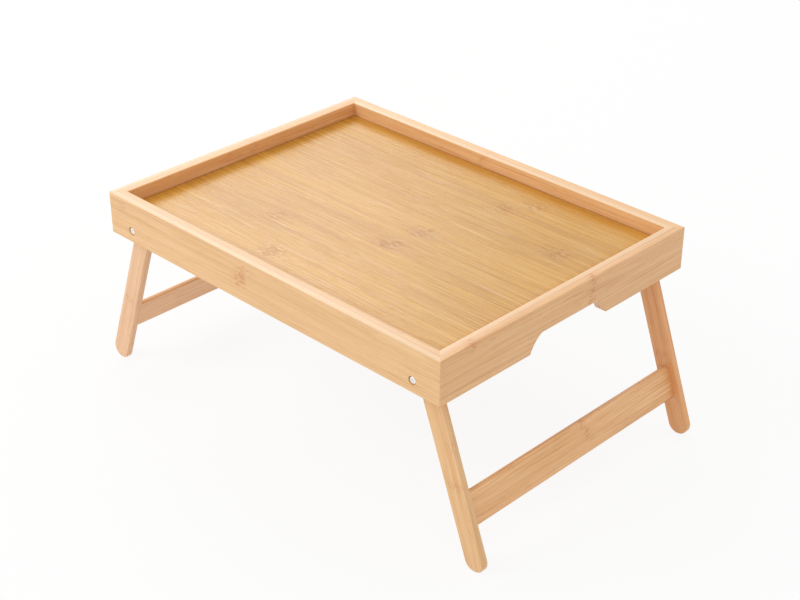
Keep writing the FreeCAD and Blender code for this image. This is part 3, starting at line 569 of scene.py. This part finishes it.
# -------------------------------------------------------------------------------------------------------
# Leg frames. Each leg is one bamboo strip 20 mm wide and 6.5 mm thick with the grain along it, cut to a
# round foot and a cam-shaped head, and a stretcher 30 mm wide is glued between each pair. All are sanded
# and lacquered.
# -------------------------------------------------------------------------------------------------------
splay = math.radians(20)
leg_centre_y_mm = 133.1
leg_reach_mm = 158.56
stretcher_rise_mm = 25.5
stretcher_width_mm = 30
leg_tones = {"left_front": ("#F2C8A0", "#DAA97C"), "left_back": ("#F0C796", "#D9A870"),
             "left_stretcher": ("#FCD0A2", "#E6B182"), "right_front": ("#F0C592", "#D9A56C"),
             "right_back": ("#F6BC86", "#E29E62"), "right_stretcher": ("#F8C590", "#E2A76A")}
leg_marks = {
    "left_front": (((-203.3, -136.35, 71), 8, 3.0, 0.2, 0.4),),
    "left_back": (),
    "left_stretcher": (),
    "right_front": (((205.5, -136.35, 71), 9, 3.0, 0.2, 0.5), ((201.5, -136.35, 106), 9, 4.0, 0.1, 0.25)),
    "right_back": (((200, 129.85, 72), 9, 3.0, 0.2, 0.4),),
    "right_stretcher": (((211.9, 13.3, 56), 12, 3.0, 0.2, 0.6),),
}
seed = 40
seed_step = 6
for side, sign in (("left", -1), ("right", 1)):
    down_leg = (sign * math.sin(splay), 0, -math.cos(splay))
    over_leg = (math.cos(splay), 0, sign * math.sin(splay))
    for end, y_sign in (("front", -1), ("back", 1)):
        leg = f"{side}_{end}"
        middle_mm = (sign * pivot_x_mm, y_sign * leg_centre_y_mm, pivot_z_mm)
        dress(leg + "_leg", lacquered_bamboo(f"lacquered_bamboo_{leg}_leg", down_leg, over_leg, middle_mm,
                                             *leg_tones[leg], seed, leg_marks[leg], layers=False,
                                             strips=False))
        seed += seed_step
    name = side + "_stretcher"
    along_mm = leg_reach_mm - stretcher_rise_mm - stretcher_width_mm / 2
    middle_mm = Vector((sign * pivot_x_mm, 0, pivot_z_mm)) + Vector(down_leg) * along_mm
    dress(name, lacquered_bamboo("lacquered_bamboo_" + name, along_y, down_leg, middle_mm, *leg_tones[name],
                                 seed, leg_marks[name], layers=False, strips=False, contrast=1.3))
    seed += seed_step

# -------------------------------------------------------------------------------------------------------
# Nut washers and cap nuts. A steel washer and a domed M4 cap nut close each pivot on the leg's inner
# side. Both are pressed and turned from steel and plated as the screws are.
# -------------------------------------------------------------------------------------------------------
nut_seat_mm = 128.9
nut_washers = washer("nut_washers", zinc, seat_mm=nut_seat_mm, diameter_mm=9, thickness_mm=0.8,
                     bore_mm=4.3, ease_mm=0.12)
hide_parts("left_nut_washers", "right_nut_washers")

nut_sizes = {"Pivot X": pivot_x_mm * MM, "Pivot Z": pivot_z_mm * MM, "Seat Y": nut_seat_mm * MM,
             "Half Flats": 3.5 * MM, "Hexagon Height": 3.2 * MM, "Dome Radius": 3.25 * MM,
             "Height": 8 * MM, "Bore Radius": 2.05 * MM, "Bore Depth": 5 * MM}
tree, given = new_geometry("cap_nut", nut_sizes)
# the turned blank, from the bore's end out to the seat, up the hexagon's side and over the dome
bore_chamfer = 0.35 * MM
corner_drop = 0.45 * MM
cut_drop = 0.2 * MM
full, half_cut, faced = (add(tree, "ShaderNodeMath", {0: given["Half Flats"], 1: share},
                             operation="MULTIPLY") for share in (1.2, 1.07, 0.96))
mouth = add(tree, "ShaderNodeMath", {0: given["Bore Radius"], 1: bore_chamfer}, operation="ADD")
top_corner = add(tree, "ShaderNodeMath", {0: given["Hexagon Height"], 1: corner_drop},
                 operation="SUBTRACT")
top_cut = add(tree, "ShaderNodeMath", {0: given["Hexagon Height"], 1: cut_drop}, operation="SUBTRACT")
shoulder = add(tree, "ShaderNodeMath", {0: given["Height"], 1: given["Dome Radius"]}, operation="SUBTRACT")
profile = [(0.0, given["Bore Depth"]), (given["Bore Radius"], given["Bore Depth"]),
           (given["Bore Radius"], bore_chamfer), (mouth, 0.0), (faced, 0.0), (half_cut, cut_drop),
           (full, corner_drop), (full, top_corner), (half_cut, top_cut), (faced, given["Hexagon Height"]),
           (given["Dome Radius"], given["Hexagon Height"])]
dome_steps = 8
for step in range(dome_steps + 1):
    turned = math.radians(90 * step / dome_steps)
    narrowed = math.cos(turned) if step < dome_steps else 0.0
    radius = add(tree, "ShaderNodeMath", {0: given["Dome Radius"], 1: narrowed}, operation="MULTIPLY")
    level = add(tree, "ShaderNodeMath", {0: given["Dome Radius"], 1: math.sin(turned), 2: shoulder},
                operation="MULTIPLY_ADD")
    profile.append((radius, level))
sheet, angle, ring = blank(tree, around=48, rings=len(profile))
radius, level = outline(tree, ring, profile)
# the hexagon's own radius at each angle cuts the turned blank down to its flats
sixth = add(tree, "ShaderNodeMath", {0: angle, 1: math.pi / 3}, operation="FLOORED_MODULO")
from_flat = add(tree, "ShaderNodeMath", {0: sixth, 1: math.pi / 6}, operation="SUBTRACT")
slope = add(tree, "ShaderNodeMath", {0: from_flat}, operation="COSINE")
hexagon = add(tree, "ShaderNodeMath", {0: given["Half Flats"], 1: slope}, operation="DIVIDE")
radius = add(tree, "ShaderNodeMath", {0: radius, 1: hexagon}, operation="MINIMUM")
fit_on_pivots(tree, wrap(tree, sheet, angle, radius, level), given, -1, zinc)
cap_nuts = made_by(tree, "cap_nuts", nut_sizes)
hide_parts("left_cap_nuts", "right_cap_nuts")

# -------------------------------------------------------------------------------------------------------
# Floor. A plain pale sweep of the studio, which runs out to the white surroundings and keeps the table's
# shadow.
# -------------------------------------------------------------------------------------------------------
floor_half = 6.0
floor_glow = 0.88


def seen_directly(tree):
    """1 where the camera, a gloss or a glass looks at the surroundings, and 0 where they light the table."""
    rays = add(tree, "ShaderNodeLightPath")
    seen = add(tree, "ShaderNodeMath", {0: rays.outputs["Is Camera Ray"], 1: rays.outputs["Is Glossy Ray"]},
               operation="MAXIMUM")
    return add(tree, "ShaderNodeMath", {0: seen, 1: rays.outputs["Is Transmission Ray"]},
               operation="MAXIMUM")


floor_corners = [(x * floor_half, y * floor_half, 0) for x, y in ((-1, -1), (1, -1), (1, 1), (-1, 1))]
floor_mesh = bpy.data.meshes.new("studio_floor")
floor_mesh.from_pydata(floor_corners, [], [(0, 1, 2, 3)])
studio_floor = bpy.data.objects.new("studio_floor", floor_mesh)
bpy.context.scene.collection.objects.link(studio_floor)
floor_paint = bpy.data.materials.new("matt_white_floor")
floor_paint.use_nodes = True
tree = floor_paint.node_tree
tree.nodes.remove(tree.nodes["Principled BSDF"])
paint = add(tree, "ShaderNodeBsdfDiffuse", {"Color": linear("#F2F2F0")})
glow = add(tree, "ShaderNodeEmission", {"Color": (1, 1, 1, 1), "Strength": 1.0})
share = add(tree, "ShaderNodeMath", {0: seen_directly(tree), 1: floor_glow}, operation="MULTIPLY")
finish = add(tree, "ShaderNodeMixShader", {0: share, 1: paint, 2: glow})
tree.links.new(finish.outputs[0], tree.nodes["Material Output"].inputs["Surface"])
floor_mesh.materials.append(floor_paint)

# -------------------------------------------------------------------------------------------------------
# Light. An even white room, a soft lamp at the front left and a wide one behind on the left, whose
# reflection gives the lacquer its sheen.
# -------------------------------------------------------------------------------------------------------
room_light = 0.8
room_seen = 0.965  # as pale as the far floor, so that no horizon shows
world = bpy.data.worlds.new("white_room")
bpy.context.scene.world = world
world.use_nodes = True
tree = world.node_tree
room = tree.nodes["Background"]
strength = add(tree, "ShaderNodeMapRange", {0: seen_directly(tree), 3: room_light, 4: room_seen})
tree.links.new(strength.outputs[0], room.inputs["Strength"])
room.inputs["Color"].default_value = (1, 1, 1, 1)


def soft_lamp(name, place, aim, width, height, radiance):
    """A rectangular soft lamp whose face has the given radiance, where 1 is white."""
    light = bpy.data.lights.new(name, "AREA")
    light.shape = "RECTANGLE"
    light.size, light.size_y = width, height
    light.energy = radiance * math.pi * width * height
    lamp = bpy.data.objects.new(name, light)
    bpy.context.scene.collection.objects.link(lamp)
    lamp.location = place
    lamp.rotation_euler = (Vector(aim) - Vector(place)).to_track_quat("-Z", "Y").to_euler()


table_middle = (0, 0, 0.12)
soft_lamp("front_left_lamp", (-1.2, -1.9, 1.9), table_middle, width=1.2, height=1.2, radiance=5.0)
soft_lamp("back_left_lamp", (-1.92, 1.02, 1.62), table_middle, width=1.6, height=1.0, radiance=2.9)

# -------------------------------------------------------------------------------------------------------
# Camera. It stands at the photograph's viewing angle, in front and to the right of the table, with the
# photograph's long lens and its slight roll.
# -------------------------------------------------------------------------------------------------------
azimuth, elevation, roll = (math.radians(angle) for angle in (44.533, 30.01, 0.062))
camera_place = (0.875743, -0.878976, 0.814179)
film_width_mm = 36
image_width = 800
lens_in_pixels = 1614.687
back = Vector((math.sin(azimuth) * math.cos(elevation), -math.cos(azimuth) * math.cos(elevation),
               math.sin(elevation)))
level = Vector((math.cos(azimuth), math.sin(azimuth), 0))
over = back.cross(level)
right = level * math.cos(roll) + over * math.sin(roll)
up = over * math.cos(roll) - level * math.sin(roll)
lens = bpy.data.cameras.new("camera")
lens.sensor_width = film_width_mm
lens.lens = film_width_mm * lens_in_pixels / image_width
lens.clip_start = 0.05
camera = bpy.data.objects.new("camera", lens)
bpy.context.scene.collection.objects.link(camera)
pose = Matrix((right, up, back)).transposed().to_4x4()
pose.translation = camera_place
camera.matrix_world = pose
bpy.context.scene.camera = camera
bpy.context.scene.view_settings.view_transform = "Standard"
